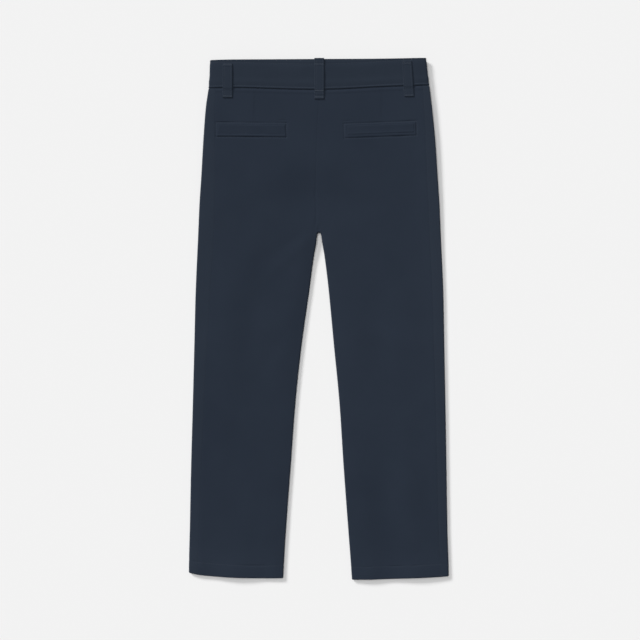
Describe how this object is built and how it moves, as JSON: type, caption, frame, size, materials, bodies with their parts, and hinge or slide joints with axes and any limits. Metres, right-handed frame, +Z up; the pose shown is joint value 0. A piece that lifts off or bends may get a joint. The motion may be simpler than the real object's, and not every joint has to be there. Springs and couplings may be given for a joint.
{
  "type": "child's chino trousers, laid flat",
  "caption": "Straight navy chino trousers lying flat with the back up: waistband with belt loops, welt back pockets, turned hems.",
  "frame": {"origin": "below the middle of the garment, on the surface that it lies on", "axes": "+Y from the hems to the waist, +X to the wearer's right as the garment lies on its front, +Z up out of the back panels"},
  "size_m": [0.364, 0.7307, 0.0108],
  "materials": {
    "twill": "matt navy cotton twill",
    "button": "satin dark navy"
  },
  "bodies": {
    "root": {"back_left": "twill", "back_right": "twill", "front_left": "twill", "front_right": "twill", "waistband": "twill", "belt_loop_back_left": "twill", "belt_loop_back_centre": "twill", "belt_loop_back_right": "twill", "belt_loop_front_left": "twill", "belt_loop_front_right": "twill", "pocket_welt_left": "twill", "pocket_welt_right": "twill", "fly": "twill", "button": "button"}
  },
  "joints": []
}
